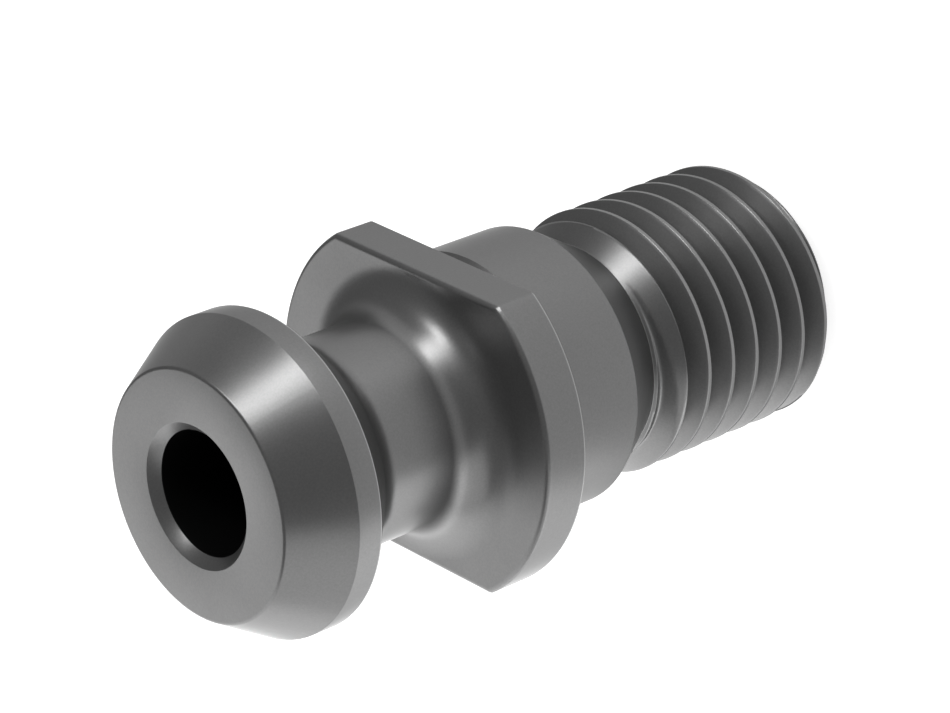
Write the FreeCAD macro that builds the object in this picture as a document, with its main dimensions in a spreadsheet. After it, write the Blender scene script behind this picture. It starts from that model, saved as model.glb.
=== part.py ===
import FreeCAD, Part
import os
import Sketcher

# A pull stud for a taper tool holder, turned from one bar and standing on its thread end.
# +Z runs up the axis to the head, the origin is the middle of the thread's end face,
# and the two wrench flats face +X and -X. Lengths are millimetres and angles are degrees.

os.makedirs("parts", exist_ok=True)
doc = FreeCAD.newDocument("PullStud")

sizes = {
    # Length above and below the seat, which is the collar's face towards the thread
    "headHeight": 19,
    "shankLength": 25,
    # Head: a cone, a short land and the face that the gripper pulls on
    "headDiameter": 18.95,
    "coneLength": 3.6,
    "coneAngle": 30,
    "landLength": 1.6,
    "undersideAngle": 45,
    "faceEdgeRadius": 0.25,
    "landEdgeBreak": 0.12,
    # Neck between the head and the collar
    "neckDiameter": 12.5,
    "headFillet": 2,
    "collarFillet": 2.6,
    # Collar with its two flats
    "collarDiameter": 22.5,
    "collarThickness": 3,
    "acrossFlats": 18,
    "collarFrontRadius": 0.3,
    "collarSeatChamfer": 0.12,
    # Pilot that centres the stud, its undercut beside the seat, and the relief behind it where
    # the thread runs out
    "pilotDiameter": 17,
    "pilotLength": 6.8,
    "undercutWidth": 1.2,
    "undercutDepth": 0.3,
    "undercutAngle": 45,
    "reliefDiameter": 13.3,
    "reliefLength": 3.25,
    "reliefAngle": 30,
    # Thread, right-handed, whose end and start are both turned to a 45 degree cone
    "threadDiameter": 16,
    "threadPitch": 2,
    "threadFlankAngle": 30,
    "threadRunOutAngle": -24,
    "threadEndChamfer": 1.6,
    # Bore right through for coolant
    "boreDiameter": 7.35,
    "headMouthChamfer": 0.6,
    "endMouthChamfer": 0.4,
}

sheet = doc.addObject("Spreadsheet::Sheet", "Sizes")
for row, (alias, size) in enumerate(sizes.items(), start=1):
    sheet.set(f"A{row}", alias)
    sheet.set(f"B{row}", str(size))
    sheet.setAlias(f"B{row}", alias)
doc.recompute()

body = doc.addObject("PartDesign::Body", "Stud")
body.Label = "pull_stud"
body.Placement = FreeCAD.Placement()

# Edges are found by where they lie: this near to their place, at this many points along each
tolerance = 1e-4
edgeSamples = 5


def valueOf(expression):
    return float(sheet.evalExpression(expression))


def originFeature(role):
    return next(item for item in body.Origin.OriginFeatures if item.Role == role)


def newSketch(name, plane):
    sketch = body.newObject("Sketcher::SketchObject", name)
    sketch.AttachmentSupport = [(originFeature(plane), "")]
    sketch.MapMode = "FlatFace"
    return sketch


def bindDistance(sketch, kind, geometry, point, name, expression):
    """Hold one coordinate of a point at a length that is worked out from the sheet."""
    length = valueOf(expression)
    if length == 0:
        axis = -2 if kind == "DistanceX" else -1
        sketch.addConstraint(Sketcher.Constraint("PointOnObject", geometry, point, axis))
        return
    ends = (-1, 1, geometry, point) if length > 0 else (geometry, point, -1, 1)
    index = sketch.addConstraint(Sketcher.Constraint(kind, *ends, abs(length)))
    sketch.renameConstraint(index, name)
    sketch.setExpression(f"Constraints.{name}", expression if length > 0 else f"-({expression})")


def drawOutline(sketch, corners):
    """Join named corners, each given as two expressions, into one closed outline."""
    places = [FreeCAD.Vector(valueOf(x), valueOf(y), 0) for _, x, y in corners]
    for here, there in zip(places, places[1:] + places[:1]):
        sketch.addGeometry(Part.LineSegment(here, there), False)
    for line, (name, x, y) in enumerate(corners):
        before = (line - 1) % len(corners)
        sketch.addConstraint(Sketcher.Constraint("Coincident", before, 2, line, 1))
        bindDistance(sketch, "DistanceX", line, 1, f"{name}X", x)
        bindDistance(sketch, "DistanceY", line, 1, f"{name}Y", y)


def edgesOf(feature, wanted):
    """Names of a feature's edges whose every sampled point passes a test."""
    names = []
    for number, edge in enumerate(feature.Shape.Edges, start=1):
        if all(wanted(point) for point in edge.discretize(edgeSamples)):
            names.append(f"Edge{number}")
    return names


def ringAt(feature, radius, height):
    """The circular edges at one radius and height, both given as expressions."""
    r, z = valueOf(radius), valueOf(height)

    def onRing(p):
        return abs(p.z - z) < tolerance and abs((p.x**2 + p.y**2) ** 0.5 - r) < tolerance

    return edgesOf(feature, onRing)


def dress(kind, name, sizeProperty, size, edgesIn):
    """Round or chamfer the edges that a function finds on the body's last feature."""
    base = body.Tip
    feature = body.newObject(kind, name)
    feature.Base = (base, edgesIn(base))
    feature.setExpression(sizeProperty, f"Sizes.{size}")
    doc.recompute()
    return feature


# Heights along the axis and radii, worked out from the sheet
neckRadius = "Sizes.neckDiameter / 2"
headRadius = "Sizes.headDiameter / 2"
collarRadius = "Sizes.collarDiameter / 2"
pilotRadius = "Sizes.pilotDiameter / 2"
reliefRadius = "Sizes.reliefDiameter / 2"
threadRadius = "Sizes.threadDiameter / 2"
faceRadius = f"({headRadius} - Sizes.coneLength * tan(Sizes.coneAngle * 1 deg))"
seat = "Sizes.shankLength"
collarFront = "(Sizes.shankLength + Sizes.collarThickness)"
face = "(Sizes.shankLength + Sizes.headHeight)"
coneEnd = f"({face} - Sizes.coneLength)"
landEnd = f"({coneEnd} - Sizes.landLength)"
undersideEnd = f"({landEnd} - ({headRadius} - {neckRadius}) / tan(Sizes.undersideAngle * 1 deg))"
undercutRadius = f"({pilotRadius} - Sizes.undercutDepth)"
undercutEnd = "(Sizes.shankLength - Sizes.undercutWidth)"
undercutSide = "(Sizes.undercutDepth / tan(Sizes.undercutAngle * 1 deg))"
pilotEnd = "(Sizes.shankLength - Sizes.pilotLength)"
threadTop = f"({pilotEnd} - Sizes.reliefLength)"
reliefFloorTop = f"({pilotEnd} - ({pilotRadius} - {reliefRadius}) / tan(Sizes.reliefAngle * 1 deg))"

# The turned outline, from the middle of the thread's end face out and up to the head's face
outline = newSketch("Outline", "XZ_Plane")
drawOutline(outline, [
    ("endMiddle", "0", "0"),
    ("endEdge", f"{threadRadius} - Sizes.threadEndChamfer", "0"),
    ("threadEnd", threadRadius, "Sizes.threadEndChamfer"),
    ("threadStart", threadRadius, f"{threadTop} - ({threadRadius} - {reliefRadius})"),
    ("floorBottom", reliefRadius, threadTop),
    ("floorTop", reliefRadius, reliefFloorTop),
    ("pilotEnd", pilotRadius, pilotEnd),
    ("undercutEdge", pilotRadius, undercutEnd),
    ("undercutLow", undercutRadius, f"{undercutEnd} + {undercutSide}"),
    ("undercutHigh", undercutRadius, f"{seat} - {undercutSide}"),
    ("pilotSeat", pilotRadius, seat),
    ("collarSeat", collarRadius, seat),
    ("collarFront", collarRadius, collarFront),
    ("neckCollar", neckRadius, collarFront),
    ("neckHead", neckRadius, undersideEnd),
    ("landEnd", headRadius, landEnd),
    ("coneEnd", headRadius, coneEnd),
    ("faceEdge", faceRadius, face),
    ("faceMiddle", "0", face),
])

blank = body.newObject("PartDesign::Revolution", "TurnedBlank")
blank.Profile = outline
blank.ReferenceAxis = (outline, ["V_Axis"])
blank.Angle = 360
doc.recompute()

# Two parallel flats on the collar alone: one is cut, and the other is its half turn about the axis
flatOutline = newSketch("FlatOutline", "XY_Plane")
flatOutline.setExpression("AttachmentOffset.Base.z", collarFront)
flatHalf = "Sizes.acrossFlats / 2"
flatReach = "Sizes.collarDiameter"
drawOutline(flatOutline, [
    ("flatRight", flatHalf, f"-{flatReach}"),
    ("outerRight", flatReach, f"-{flatReach}"),
    ("outerLeft", flatReach, flatReach),
    ("flatLeft", flatHalf, flatReach),
])

flatCut = body.newObject("PartDesign::Pocket", "FlatCut")
flatCut.Profile = flatOutline
flatCut.setExpression("Length", "Sizes.collarThickness")
doc.recompute()

flats = body.newObject("PartDesign::PolarPattern", "WrenchFlats")
flats.Originals = [flatCut]
flats.Axis = (originFeature("Z_Axis"), [""])
flats.Angle = 360
flats.Occurrences = 2
body.Tip = flats
doc.recompute()

# Bore on the axis, through both ends
boreRadius = "Sizes.boreDiameter / 2"
boreOutline = newSketch("BoreOutline", "XY_Plane")
boreCircle = Part.Circle(FreeCAD.Vector(), FreeCAD.Vector(0, 0, 1), valueOf(boreRadius))
boreOutline.addGeometry(boreCircle, False)
boreOutline.addConstraint(Sketcher.Constraint("Coincident", 0, 3, -1, 1))
boreIndex = boreOutline.addConstraint(Sketcher.Constraint("Radius", 0, valueOf(boreRadius)))
boreOutline.renameConstraint(boreIndex, "bore")
boreOutline.setExpression("Constraints.bore", boreRadius)

bore = body.newObject("PartDesign::Pocket", "CoolantBore")
bore.Profile = boreOutline
bore.Reversed = True
bore.Type = "ThroughAll"
doc.recompute()

# Edges: rounded where the neck meets the head and the collar and round the collar's front,
# broken or chamfered elsewhere
dress("PartDesign::Fillet", "NeckToHead", "Radius", "headFillet",
      lambda base: ringAt(base, neckRadius, undersideEnd))
dress("PartDesign::Fillet", "NeckToCollar", "Radius", "collarFillet",
      lambda base: ringAt(base, neckRadius, collarFront))
dress("PartDesign::Fillet", "FaceEdge", "Radius", "faceEdgeRadius",
      lambda base: ringAt(base, faceRadius, face))
dress("PartDesign::Fillet", "LandEdges", "Radius", "landEdgeBreak",
      lambda base: ringAt(base, headRadius, coneEnd) + ringAt(base, headRadius, landEnd))


def collarRim(height):
    """The arcs and straight edges round the collar at one height."""
    z = valueOf(height)
    inner = valueOf(flatHalf) - tolerance

    def onRim(p):
        return abs(p.z - z) < tolerance and (p.x**2 + p.y**2) ** 0.5 > inner

    return lambda base: edgesOf(base, onRim)


dress("PartDesign::Fillet", "CollarFrontEdge", "Radius", "collarFrontRadius", collarRim(collarFront))
dress("PartDesign::Chamfer", "CollarSeatEdge", "Size", "collarSeatChamfer", collarRim(seat))
dress("PartDesign::Chamfer", "HeadMouth", "Size", "headMouthChamfer",
      lambda base: ringAt(base, boreRadius, face))
dress("PartDesign::Chamfer", "EndMouth", "Size", "endMouthChamfer",
      lambda base: ringAt(base, boreRadius, "0"))

# Thread: one groove of the standard 60 degree form, 17/24 of its sharp triangle deep, which leaves
# crests an eighth of a pitch wide. It starts in the relief, clear of metal halfway between the two
# cones, and runs down past the end face. Its cutter reaches a little past the crests, where two
# turns still part.
sharpHeight = "(Sizes.threadPitch / 2 / tan(Sizes.threadFlankAngle * 1 deg))"
grooveRadius = f"({threadRadius} - 17 / 24 * {sharpHeight})"
cutterRadius = f"({threadRadius} + Sizes.threadPitch / 20)"
floorRise = f"({grooveRadius} - {reliefRadius})"
coneAtGroove = f"({threadTop} - {floorRise})"
taperAtGroove = f"({reliefFloorTop} + {floorRise} / tan(Sizes.reliefAngle * 1 deg))"
cutterMiddle = f"(({coneAtGroove} + {taperAtGroove}) / 2)"
floorHalf = "Sizes.threadPitch / 12"
mouthHalf = f"({floorHalf} + ({cutterRadius} - {grooveRadius}) * tan(Sizes.threadFlankAngle * 1 deg))"

cutterOutline = newSketch("CutterOutline", "XZ_Plane")
cutterTurn = FreeCAD.Rotation(FreeCAD.Vector(0, 1, 0), valueOf("Sizes.threadRunOutAngle"))
cutterOutline.AttachmentOffset = FreeCAD.Placement(FreeCAD.Vector(), cutterTurn)
cutterOutline.setExpression("AttachmentOffset.Rotation.Angle", "Sizes.threadRunOutAngle * 1 deg")
drawOutline(cutterOutline, [
    ("floorLow", grooveRadius, f"{cutterMiddle} - {floorHalf}"),
    ("mouthLow", cutterRadius, f"{cutterMiddle} - {mouthHalf}"),
    ("mouthHigh", cutterRadius, f"{cutterMiddle} + {mouthHalf}"),
    ("floorHigh", grooveRadius, f"{cutterMiddle} + {floorHalf}"),
])
doc.recompute()

thread = body.newObject("PartDesign::SubtractiveHelix", "Thread")
thread.Profile = cutterOutline
thread.ReferenceAxis = (cutterOutline, ["V_Axis"])
thread.Mode = 0
thread.LeftHanded = False
thread.Reversed = True
thread.setExpression("Pitch", "Sizes.threadPitch")
thread.setExpression("Height", f"{cutterMiddle} + Sizes.threadPitch")
body.Tip = thread
doc.recompute()

for item in doc.Objects:
    if "Invalid" in item.State or "Error" in item.State:
        raise RuntimeError(f"{item.Label} failed: {item.State}")
if body.Shape.isNull() or not body.Shape.isValid():
    raise RuntimeError("the stud's shape is not valid")

body.Shape.exportStep(f"parts/{body.Label}.step")
print(body.Label, "volume", round(body.Shape.Volume, 1), "solids", len(body.Shape.Solids))
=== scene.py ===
# Pull stud for a taper tool holder: one turning of blackened steel, standing on its thread end
import math

import bmesh
import bpy
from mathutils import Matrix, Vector


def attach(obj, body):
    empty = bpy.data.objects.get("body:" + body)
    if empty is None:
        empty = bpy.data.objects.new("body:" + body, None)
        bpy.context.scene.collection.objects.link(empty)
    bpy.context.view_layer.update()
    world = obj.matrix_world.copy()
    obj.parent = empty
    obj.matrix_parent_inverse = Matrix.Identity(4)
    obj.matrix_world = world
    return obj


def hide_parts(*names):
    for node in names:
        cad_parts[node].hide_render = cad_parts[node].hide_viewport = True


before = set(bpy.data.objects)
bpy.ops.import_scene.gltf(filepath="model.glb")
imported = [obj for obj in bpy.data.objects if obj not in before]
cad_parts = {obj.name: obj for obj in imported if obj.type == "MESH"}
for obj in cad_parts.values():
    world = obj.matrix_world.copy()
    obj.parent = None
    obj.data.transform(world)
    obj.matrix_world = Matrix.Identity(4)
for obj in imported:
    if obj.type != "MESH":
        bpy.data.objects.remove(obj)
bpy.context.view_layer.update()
mm = 0.001
print("frame loaded")


# A linear colour with its alpha from an sRGB hex value
def linearFromHex(code):
    channels = []
    for start in (0, 2, 4):
        value = int(code[start:start + 2], 16) / 255
        channels.append(value / 12.92 if value <= 0.04045 else ((value + 0.055) / 1.055) ** 2.4)
    return (*channels, 1.0)


# The camera stands where the photograph's did: in front of the head, rolled so that the axis lies aslant
camera = {
    "place": (104.80, -158.87, 174.91),  # mm
    "turn": (-23.874, 46.800, -88.382),  # degrees about X, Y and Z
    "lens": 159.16,  # mm
    "sensor": 36,  # mm wide
    "nearest": 10,  # mm, the range in which things are seen
    "farthest": 20000,
}
cameraData = bpy.data.cameras.new("photoCamera")
cameraData.lens = camera["lens"]
cameraData.sensor_width = camera["sensor"]
cameraData.clip_start = camera["nearest"] * mm
cameraData.clip_end = camera["farthest"] * mm
cameraObject = bpy.data.objects.new("photoCamera", cameraData)
bpy.context.scene.collection.objects.link(cameraObject)
cameraObject.location = [length * mm for length in camera["place"]]
cameraObject.rotation_euler = [math.radians(angle) for angle in camera["turn"]]
bpy.context.scene.camera = cameraObject
print("camera placed")


# Sizes of the turning in mm and degrees. Those of its shape are the CAD part's, and the roundings and
# edge breaks beside them are small ones that only show close up
stud = {
    "head": 19.0,  # above the seat, which is the collar's face towards the thread
    "shank": 25.0,  # below it
    "headRadius": 9.475,
    "coneLength": 3.6,
    "coneAngle": 30.0,
    "landLength": 1.6,
    "faceEdge": 0.25,
    "landEdge": 0.12,
    "neckRadius": 6.25,
    "headFillet": 2.0,
    "collarFillet": 2.6,
    "collarRadius": 11.25,
    "collarThickness": 3.0,
    "halfFlats": 9.0,
    "frontRound": 0.3,
    "seatChamfer": 0.12,
    "pilotRadius": 8.5,
    "pilotLength": 6.8,
    "pilotRound": 0.2,
    "undercutWidth": 1.2,
    "undercutDepth": 0.3,
    "undercutRound": 0.1,
    "reliefRadius": 6.65,
    "reliefLength": 3.25,
    "reliefAngle": 30.0,
    "reliefRound": 0.08,
    "threadRadius": 8.0,
    "pitch": 2.0,
    "flankAngle": 30.0,
    "grooveShare": 17 / 24,  # depth of the groove, as a share of the sharp triangle's height
    "rootRound": 0.16,
    "runOutAngle": -24.0,  # where round the stud the groove starts
    "endChamfer": 1.6,
    "boreRadius": 3.675,
    "headMouth": 0.6,
    "endMouth": 0.4,
    "edgeBreak": 0.05,
}

# How finely the turning is drawn
drawing = {
    "columns": 288,  # round the axis
    "wideStep": 5,  # degrees along a fillet whose radius is over wideFrom
    "smallStep": 15,  # degrees along a smaller rounding
    "wideFrom": 1.0,  # mm
    "boreRow": 0.3,  # mm from a mouth's chamfer to the first row in the bore
    "collarRow": 0.06,  # mm from the collar's front rounding to the row inside it
    "flankRow": 0.2,  # mm between rows on a flank
    "footCone": 0.33,  # mm of the end chamfer that stay clear of the thread's rows
    "filletMargin": 0.1,  # mm by which the collar's fillet stops short of the flats' rounding
    "cornerGap": 0.07,  # mm from each corner of the flats to the columns beside it
    "cornerClear": 2.5,  # gaps beside a corner that even columns keep out of
    "merge": 0.0005,  # mm between points that become one
    "sliver": 0.0002,  # mm, the length of edges that are taken out
}


# A polyline of (radius, height, corner radius) with each corner turned into an arc
def roundedLine(corners, arcSteps=None):
    line = []
    for index, (radius, height, rounding) in enumerate(corners):
        here = Vector((radius, height))
        if rounding == 0 or index in (0, len(corners) - 1):
            line.append(here)
            continue
        before = (Vector(corners[index - 1][:2]) - here).normalized()
        after = (Vector(corners[index + 1][:2]) - here).normalized()
        half = before.angle(after) / 2
        reach = rounding / math.tan(half)
        middle = here + (before + after).normalized() * (rounding / math.sin(half))
        sweep = math.pi - 2 * half
        longest = drawing["wideStep"] if rounding > drawing["wideFrom"] else drawing["smallStep"]
        steps = arcSteps or max(2, math.ceil(math.degrees(sweep) / longest))
        first = here + before * reach - middle
        last = here + after * reach - middle
        for step in range(steps + 1):
            share = step / steps
            weightFirst = math.sin((1 - share) * sweep) / math.sin(sweep)
            weightLast = math.sin(share * sweep) / math.sin(sweep)
            line.append(middle + first * weightFirst + last * weightLast)
    return line


face = stud["shank"] + stud["head"]
coneEnd = face - stud["coneLength"]
landEnd = coneEnd - stud["landLength"]
faceRadius = stud["headRadius"] - stud["coneLength"] * math.tan(math.radians(stud["coneAngle"]))
undersideEnd = landEnd - (stud["headRadius"] - stud["neckRadius"])
collarFront = stud["shank"] + stud["collarThickness"]
pilotEnd = stud["shank"] - stud["pilotLength"]
threadTop = pilotEnd - stud["reliefLength"]
reliefSlope = math.tan(math.radians(stud["reliefAngle"]))
reliefTop = pilotEnd - (stud["pilotRadius"] - stud["reliefRadius"]) / reliefSlope
broken = stud["edgeBreak"]

# Head: out over the face, down the cone and land, and in under the head to the neck and the collar
headLine = roundedLine([
    (stud["boreRadius"], face - stud["headMouth"] - drawing["boreRow"], 0),
    (stud["boreRadius"], face - stud["headMouth"], broken),
    (stud["boreRadius"] + stud["headMouth"], face, broken),
    (faceRadius, face, stud["faceEdge"]),
    (stud["headRadius"], coneEnd, stud["landEdge"]),
    (stud["headRadius"], landEnd, stud["landEdge"]),
    (stud["neckRadius"], undersideEnd, stud["headFillet"]),
    (stud["neckRadius"], collarFront, stud["collarFillet"]),
    (stud["collarRadius"], collarFront, 0),
])[:-1]

# Collar: these rows are cut off by the two flats
collarLine = roundedLine([
    (stud["collarRadius"] - stud["frontRound"] - drawing["collarRow"], collarFront, 0),
    (stud["collarRadius"], collarFront, stud["frontRound"]),
    (stud["collarRadius"], stud["shank"] + stud["seatChamfer"], broken / 2),
    (stud["collarRadius"] - stud["seatChamfer"], stud["shank"], broken / 2),
    (stud["pilotRadius"], stud["shank"], 0),
])[:-1]

# Shank down to the cone where the thread starts, with the slant-sided undercut beside the seat
undercutRadius = stud["pilotRadius"] - stud["undercutDepth"]
undercutEnd = stud["shank"] - stud["undercutWidth"]
lowCone = stud["reliefRadius"] + broken
shankLine = roundedLine([
    (stud["collarRadius"], stud["shank"], 0),
    (stud["pilotRadius"], stud["shank"], broken / 2),
    (undercutRadius, stud["shank"] - stud["undercutDepth"], stud["undercutRound"]),
    (undercutRadius, undercutEnd + stud["undercutDepth"], stud["undercutRound"]),
    (stud["pilotRadius"], undercutEnd, broken / 2),
    (stud["pilotRadius"], pilotEnd, stud["pilotRound"]),
    (stud["reliefRadius"], reliefTop, stud["reliefRound"]),
    (stud["reliefRadius"], threadTop, broken),
    (lowCone, threadTop - broken, 0),
])[1:]

# End face and bore, from the foot of the end chamfer back up to the head
endCone = stud["threadRadius"] - stud["endChamfer"]
endLine = roundedLine([
    (endCone + drawing["footCone"], drawing["footCone"], 0),
    (endCone, 0, broken),
    (stud["boreRadius"] + stud["endMouth"], 0, broken),
    (stud["boreRadius"], stud["endMouth"], broken),
    (stud["boreRadius"], stud["endMouth"] + drawing["boreRow"], 0),
])

# Half a turn of the thread from the middle of its groove, as (distance along the axis, radius). The flat of
# its root is a sixth of the pitch wide, and that of its crest an eighth
halfPitch = stud["pitch"] / 2
sharpHeight = halfPitch / math.tan(math.radians(stud["flankAngle"]))
rootRadius = stud["threadRadius"] - stud["grooveShare"] * sharpHeight
rootHalf = stud["pitch"] / 12
crestHalf = stud["pitch"] / 16
halfTurn = roundedLine([
    (0, rootRadius, 0),
    (rootHalf, rootRadius, stud["rootRound"]),
    (halfPitch - crestHalf, stud["threadRadius"], broken),
    (halfPitch, stud["threadRadius"], 0),
], arcSteps=3)


# Long runs of the flank get rows of their own, so that the cones at both ends cut it cleanly
def divided(line, longest):
    rows = [line[0]]
    for there in line[1:]:
        here = rows[-1]
        count = max(1, math.ceil((there - here).length / longest))
        rows.extend(here.lerp(there, step / count) for step in range(1, count + 1))
    return rows


upperHalf = divided(halfTurn, drawing["flankRow"])
lowerHalf = [Vector((-point.x, point.y)) for point in reversed(upperHalf)][:-1]
threadTurn = lowerHalf[1:] + upperHalf
topLimit = threadTop - broken
lowLimit = drawing["footCone"]

# The groove starts in the relief, clear of metal halfway between the two cones
floorRise = rootRadius - stud["reliefRadius"]
taperAtRoot = reliefTop + floorRise / reliefSlope
startMiddle = (threadTop - floorRise + taperAtRoot) / 2
turnsBelow = 9  # turns from the groove's start down to the first one drawn
turnsDrawn = 11  # enough to reach past both ends of the thread


# Radius of the plain blank that the thread is cut into
def blankRadius(height):
    return min(stud["threadRadius"], endCone + height, stud["reliefRadius"] + threadTop - height)


# The thread's rows at one angle, kept inside the blank, with a row on each place where the two cross
def threadColumn(turn):
    rows = []
    middle = startMiddle + stud["pitch"] * (turn - stud["runOutAngle"] / 360 - turnsBelow)
    for number in range(turnsDrawn):
        for along, radius in threadTurn:
            rows.append(Vector((radius, middle + number * stud["pitch"] + along)))
    excess = [row.x - blankRadius(row.y) for row in rows]
    snapped = [row.copy() for row in rows]
    for index in range(len(rows) - 1):
        if (excess[index] > 0) != (excess[index + 1] > 0):
            share = excess[index] / (excess[index] - excess[index + 1])
            nearest = index if share < 0.5 else index + 1
            snapped[nearest] = rows[index].lerp(rows[index + 1], share)
    column = []
    for row in snapped:
        height = min(max(row.y, lowLimit), topLimit)
        column.append(Vector((min(row.x, blankRadius(height)), height)))
    return column


# The angles of the columns: even steps, and two columns close beside each corner of the flats
flatCorner = math.acos(stud["halfFlats"] / stud["collarRadius"])
cornerGap = drawing["cornerGap"] / stud["collarRadius"]
angles = []
for column in range(drawing["columns"]):
    angle = 2 * math.pi * column / drawing["columns"]
    fromFlat = abs((angle + math.pi / 2) % math.pi - math.pi / 2)
    if abs(fromFlat - flatCorner) > drawing["cornerClear"] * cornerGap:
        angles.append(angle)
for middle in (flatCorner, math.pi - flatCorner, math.pi + flatCorner, 2 * math.pi - flatCorner):
    angles.extend((middle - cornerGap, middle + cornerGap))
angles.sort()
angles.append(2 * math.pi)


# A point of the collar's outline, which two flats cut off; the corners stay on their own columns
def collarPoint(radius, angle):
    flat = stud["halfFlats"] - (stud["collarRadius"] - radius)
    corner = math.acos(flat / radius)
    side = 1 if math.cos(angle) > 0 else -1
    fromFlat = math.atan2(side * math.sin(angle), side * math.cos(angle))
    if abs(fromFlat) < flatCorner:
        across = radius * math.sin(corner) * math.tan(fromFlat) / math.tan(flatCorner)
        return Vector((side * flat, side * across))
    share = (math.pi / 2 - abs(fromFlat)) / (math.pi / 2 - flatCorner)
    turned = math.copysign(math.pi / 2 - share * (math.pi / 2 - corner), fromFlat)
    return Vector((side * radius * math.cos(turned), side * radius * math.sin(turned)))


# A point of the head and neck; the collar's fillet is drawn in where the flats would cut it
def headPoint(radius, height, direction):
    inside = stud["halfFlats"] - stud["frontRound"] - drawing["filletMargin"]
    x, y = direction * radius
    if abs(x) <= inside or height > collarFront + stud["collarFillet"]:
        return (x, y, height)
    x = math.copysign(inside, x)
    fromMiddle = stud["neckRadius"] + stud["collarFillet"] - math.hypot(x, y)
    drop = math.sqrt(stud["collarFillet"] ** 2 - max(fromMiddle, 0) ** 2)
    return (x, y, collarFront + stud["collarFillet"] - drop)


studMesh = bmesh.new()
columns = []
for angle in angles:
    points = []
    direction = Vector((math.cos(angle), math.sin(angle)))
    for radius, height in headLine:
        points.append(headPoint(radius, height, direction))
    for radius, height in collarLine:
        points.append((*collarPoint(radius, angle), height))
    for radius, height in shankLine:
        points.append((*(direction * radius), height))
    for radius, height in reversed(threadColumn(angle / (2 * math.pi))):
        points.append((*(direction * radius), height))
    for radius, height in endLine:
        points.append((*(direction * radius), height))
    columns.append([studMesh.verts.new([length * mm for length in point]) for point in points])

for here, there in zip(columns, columns[1:]):
    rows = len(here)
    for row in range(rows):
        below = (row + 1) % rows
        studMesh.faces.new((here[row], here[below], there[below], there[row]))

bmesh.ops.remove_doubles(studMesh, verts=studMesh.verts, dist=drawing["merge"] * mm)
bmesh.ops.dissolve_degenerate(studMesh, edges=studMesh.edges, dist=drawing["sliver"] * mm)
for patch in studMesh.faces:
    patch.smooth = True
bmesh.ops.recalc_face_normals(studMesh, faces=studMesh.faces)
studData = bpy.data.meshes.new("turnedStud")
studMesh.to_mesh(studData)
studMesh.free()
turnedStud = bpy.data.objects.new("turnedStud", studData)
bpy.context.scene.collection.objects.link(turnedStud)
evenNormals = turnedStud.modifiers.new("evenNormals", "WEIGHTED_NORMAL")
evenNormals.weight = 60  # wide faces keep their own direction beside narrow roundings
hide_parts("pull_stud")
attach(turnedStud, "root")
print("stud turned:", len(studData.polygons), "faces")


# Adds one node to a tree, sets it and links its inputs
def addNode(tree, kind, settings=None, inputs=None):
    node = tree.nodes.new(kind)
    for name, value in (settings or {}).items():
        setattr(node, name, value)
    for name, value in (inputs or {}).items():
        socket = node.inputs[name]
        if isinstance(value, bpy.types.NodeSocket):
            tree.links.new(value, socket)
        else:
            socket.default_value = value
    return node


# Blackened steel: turned and ground steel with a black oxide skin, dark grey with a satin shine, with faint
# rings left by the turning tool. Its sharp edges and crests are pale, partly rubbed bare by handling and
# partly a painted highlight line
steel = {
    "colour": "686868",
    "deepColour": "626262",
    "metal": 0.8,  # the oxide skin is only partly metallic
    "edgeTint": "B4B4B4",  # the skin mirrors less than plain metal where it is seen at a low angle
    "roughness": 0.32,
    "roughnessSpread": 0.02,
    "cloud": 4.0,  # mm across one patch of duller or brighter skin
    "grain": 0.12,  # mm across one speck of the oxide
    "noiseLow": 0.3,  # the range that most of a noise's values lie in
    "noiseHigh": 0.7,
    "ring": 0.16,  # mm between turning marks, drawn coarser than the real 0.05 so that they show
    "markHeight": 0.0006,  # mm
    # pale edge colour: bare metal rubbed by handling, and partly a painted highlight line
    "bareAndHighlightColour": "A6A6A6",
    "bareAndHighlightWidth": 0.07,  # mm on each side of an edge
    "bareAndHighlightShare": 0.65,  # how far the pale edge colour, part rubbed skin and part painted highlight, goes there
    "bareAndHighlightFull": 0.3,  # widths from the edge at which the pale edge colour starts to fade out
    "bareAndHighlightGone": 1.3,  # widths from the edge at which it is gone
    "boreShadeColour": "1E1E1E",  # painted shade: the drilled bore's wall is darkened for the shade deep inside the hole
    "boreReach": 0.02,  # mm past the bore's wall that still count as in it
}
blackenedSteel = bpy.data.materials.new("blackenedSteel")
blackenedSteel.use_nodes = True
tree = blackenedSteel.node_tree
tree.nodes.clear()
place = addNode(tree, "ShaderNodeTexCoord").outputs["Object"]
apart = addNode(tree, "ShaderNodeSeparateXYZ", inputs={"Vector": place})
square = addNode(tree, "ShaderNodeVectorMath", {"operation": "MULTIPLY"}, {0: place, 1: (1, 1, 0)})
across = addNode(tree, "ShaderNodeVectorMath", {"operation": "LENGTH"}, {0: square.outputs["Vector"]})
ringPlace = addNode(tree, "ShaderNodeCombineXYZ", inputs={
    "X": across.outputs["Value"], "Y": apart.outputs["Z"],
})
rings = addNode(tree, "ShaderNodeTexNoise", {"noise_dimensions": "2D"}, {
    "Vector": ringPlace.outputs["Vector"], "Scale": 1 / (steel["ring"] * mm), "Detail": 2.0,
})
specks = addNode(tree, "ShaderNodeTexNoise", inputs={
    "Vector": place, "Scale": 1 / (steel["grain"] * mm), "Detail": 3.0,
})

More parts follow.
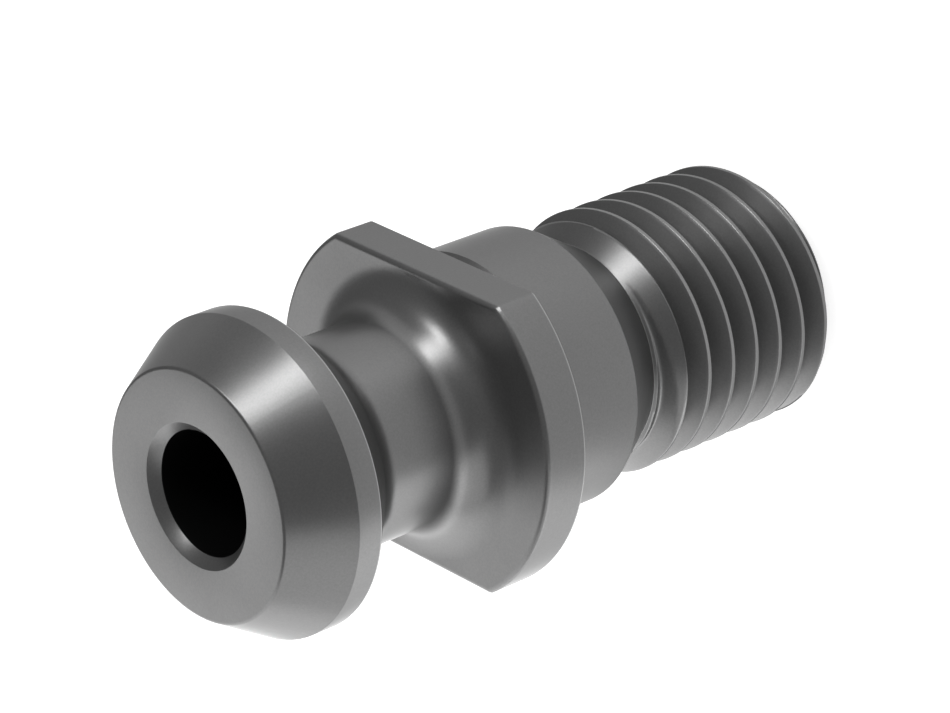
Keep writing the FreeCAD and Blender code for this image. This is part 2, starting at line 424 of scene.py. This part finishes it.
# The distance to the nearest sharp edge, each edge given as (radius, height), or to the thread's crests
sharpEdges = (
    (stud["headRadius"], landEnd),
    (stud["collarRadius"], stud["shank"] + stud["seatChamfer"]),
    (endCone, 0),
)
crestGap = addNode(tree, "ShaderNodeMath", {"operation": "SUBTRACT"}, {
    0: stud["threadRadius"] * mm, 1: across.outputs["Value"],
})
aboveThread = addNode(tree, "ShaderNodeMath", {"operation": "GREATER_THAN"}, {
    0: apart.outputs["Z"], 1: threadTop * mm,
})
crestWearAndHighlight = addNode(tree, "ShaderNodeMath", {"operation": "ADD"}, {
    0: crestGap.outputs["Value"], 1: steel["bareAndHighlightWidth"] * mm,
})
nearest = addNode(tree, "ShaderNodeMath", {"operation": "ADD"}, {
    0: crestWearAndHighlight.outputs["Value"], 1: aboveThread.outputs["Value"],
})
for radius, height in sharpEdges:
    gap = addNode(tree, "ShaderNodeVectorMath", {"operation": "DISTANCE"}, {
        0: ringPlace.outputs["Vector"], 1: (radius * mm, height * mm, 0),
    })
    nearest = addNode(tree, "ShaderNodeMath", {"operation": "MINIMUM"}, {
        0: nearest.outputs["Value"], 1: gap.outputs["Value"],
    })
bareAndHighlight = addNode(tree, "ShaderNodeMapRange", inputs={
    "Value": nearest.outputs["Value"], "From Min": steel["bareAndHighlightFull"] * steel["bareAndHighlightWidth"] * mm,
    "From Max": steel["bareAndHighlightGone"] * steel["bareAndHighlightWidth"] * mm, "To Min": steel["bareAndHighlightShare"], "To Max": 0.0,
})
clouds = addNode(tree, "ShaderNodeTexNoise", inputs={
    "Vector": place, "Scale": 1 / (steel["cloud"] * mm), "Detail": 2.0,
})
tone = addNode(tree, "ShaderNodeMapRange", inputs={
    "Value": specks.outputs["Fac"], "From Min": steel["noiseLow"], "From Max": steel["noiseHigh"],
})
colour = addNode(tree, "ShaderNodeMix", {"data_type": "RGBA"}, {
    "Factor": tone.outputs["Result"],
    "A": linearFromHex(steel["deepColour"]), "B": linearFromHex(steel["colour"]),
})
# Pale metal along the sharp edges and crests: rubbed wear, and partly a painted highlight line
rubbedAndHighlit = addNode(tree, "ShaderNodeMix", {"data_type": "RGBA"}, {
    "Factor": bareAndHighlight.outputs["Result"],
    "A": colour.outputs["Result"], "B": linearFromHex(steel["bareAndHighlightColour"]),
})
# Painted shade: the bore's wall gets a near-black colour for the shade deep inside it
inBore = addNode(tree, "ShaderNodeMath", {"operation": "LESS_THAN"}, {
    0: across.outputs["Value"], 1: (stud["boreRadius"] + steel["boreReach"]) * mm,
})
boreShaded = addNode(tree, "ShaderNodeMix", {"data_type": "RGBA"}, {
    "Factor": inBore.outputs["Value"],
    "A": rubbedAndHighlit.outputs["Result"], "B": linearFromHex(steel["boreShadeColour"]),
})
shine = addNode(tree, "ShaderNodeMapRange", inputs={
    "Value": clouds.outputs["Fac"], "From Min": steel["noiseLow"], "From Max": steel["noiseHigh"],
    "To Min": steel["roughness"] - steel["roughnessSpread"],
    "To Max": steel["roughness"] + steel["roughnessSpread"],
})
marks = addNode(tree, "ShaderNodeBump", inputs={
    "Height": rings.outputs["Fac"], "Distance": steel["markHeight"] * mm, "Strength": 1.0,
})
skin = addNode(tree, "ShaderNodeBsdfPrincipled", inputs={
    "Base Color": boreShaded.outputs["Result"], "Metallic": steel["metal"],
    "Roughness": shine.outputs["Result"], "Normal": marks.outputs["Normal"],
    "Specular Tint": linearFromHex(steel["edgeTint"]),
})
addNode(tree, "ShaderNodeOutputMaterial", inputs={"Surface": skin.outputs["BSDF"]})
studData.materials.append(blackenedSteel)
print("steel blackened")


# A bench top in matt white paint, which gives the eye an even pale ground. It runs out of view on every side
# and keeps the stud's soft shadow
bench = {
    "side": 4000,  # mm
    "colour": "CCCCCC",
    "glow": 0.7,  # the share of white that shadows leave alone
}
benchMesh = bmesh.new()
bmesh.ops.create_grid(benchMesh, x_segments=8, y_segments=8, size=bench["side"] / 2 * mm)
benchData = bpy.data.meshes.new("benchTop")
benchMesh.to_mesh(benchData)
benchMesh.free()
benchTop = bpy.data.objects.new("benchTop", benchData)
bpy.context.scene.collection.objects.link(benchTop)
mattWhitePaint = bpy.data.materials.new("mattWhitePaint")
mattWhitePaint.use_nodes = True
tree = mattWhitePaint.node_tree
tree.nodes.clear()
paint = addNode(tree, "ShaderNodeBsdfDiffuse", inputs={"Color": linearFromHex(bench["colour"])})
glow = addNode(tree, "ShaderNodeEmission", inputs={"Color": (1, 1, 1, 1), "Strength": bench["glow"]})
bright = addNode(tree, "ShaderNodeAddShader", inputs={0: paint.outputs["BSDF"], 1: glow.outputs["Emission"]})

# The glow is there for what is seen directly, mirrored or through glass, and lights nothing
ray = addNode(tree, "ShaderNodeLightPath")
seen = addNode(tree, "ShaderNodeMath", {"operation": "MAXIMUM"}, {
    0: ray.outputs["Is Camera Ray"], 1: ray.outputs["Is Glossy Ray"],
})
seenAtAll = addNode(tree, "ShaderNodeMath", {"operation": "MAXIMUM"}, {
    0: seen.outputs["Value"], 1: ray.outputs["Is Transmission Ray"],
})
pale = addNode(tree, "ShaderNodeMixShader", inputs={
    "Fac": seenAtAll.outputs["Value"], 1: paint.outputs["BSDF"], 2: bright.outputs["Shader"],
})
addNode(tree, "ShaderNodeOutputMaterial", inputs={"Surface": pale.outputs["Shader"]})
benchData.materials.append(mattWhitePaint)
print("bench laid")


# Soft boxes round the stud, facing its axis: two narrow ones on its +X side, one above the other, give the
# bright streaks, two wide ones stand behind it, and a low one leans back beside its foot on the -X side.
# Direction is in degrees from +X, distance, middle (a height), width and tall are in mm. A tilt of 90 degrees
# stands upright and one of 180 faces up, lean turns the top towards greater directions, and spread is how
# wide the light fans out
lamps = {
    "streakBox": {
        "direction": -9, "distance": 100, "middle": 50, "width": 34, "tall": 92,
        "tilt": 90, "lean": 4, "spread": 140, "brightness": 5.5,
    },
    "upperBox": {
        "direction": 4, "distance": 110, "middle": 118, "width": 44, "tall": 46,
        "tilt": 90, "lean": 0, "spread": 180, "brightness": 12.0,
    },
    "backBox": {
        "direction": 149, "distance": 130, "middle": 95, "width": 215, "tall": 190,
        "tilt": 90, "lean": 0, "spread": 140, "brightness": 1.95,
    },
    "leftBox": {
        "direction": 220, "distance": 130, "middle": 70, "width": 150, "tall": 140,
        "tilt": 90, "lean": 0, "spread": 140, "brightness": 1.0,
    },
    "lowBox": {
        "direction": 187, "distance": 42, "middle": 12, "width": 116, "tall": 40,
        "tilt": 142, "lean": 0, "spread": 180, "brightness": 2.0,
    },
}
for name, box in lamps.items():
    lampData = bpy.data.lights.new(name, "AREA")
    lampData.shape = "RECTANGLE"
    lampData.size = box["width"] * mm
    lampData.size_y = box["tall"] * mm
    lampData.spread = math.radians(box["spread"])
    lampData.energy = box["brightness"] * math.pi * lampData.size * lampData.size_y
    lamp = bpy.data.objects.new(name, lampData)
    bpy.context.scene.collection.objects.link(lamp)
    turn = math.radians(box["direction"])
    away = box["distance"] * mm
    lamp.location = (away * math.cos(turn), away * math.sin(turn), box["middle"] * mm)
    lamp.rotation_euler = (math.radians(box["tilt"]), math.radians(box["lean"]), turn + math.radians(90))
    lamp.visible_camera = False

# The plain white room beyond the boxes
room = {
    "colour": "FFFFFF",
    "strength": 0.3,
}
world = bpy.data.worlds.new("softRoom")
bpy.context.scene.world = world
world.use_nodes = True
background = world.node_tree.nodes["Background"]
background.inputs["Color"].default_value = linearFromHex(room["colour"])
background.inputs["Strength"].default_value = room["strength"]
bpy.context.scene.view_settings.view_transform = "Standard"
print("lamps lit")
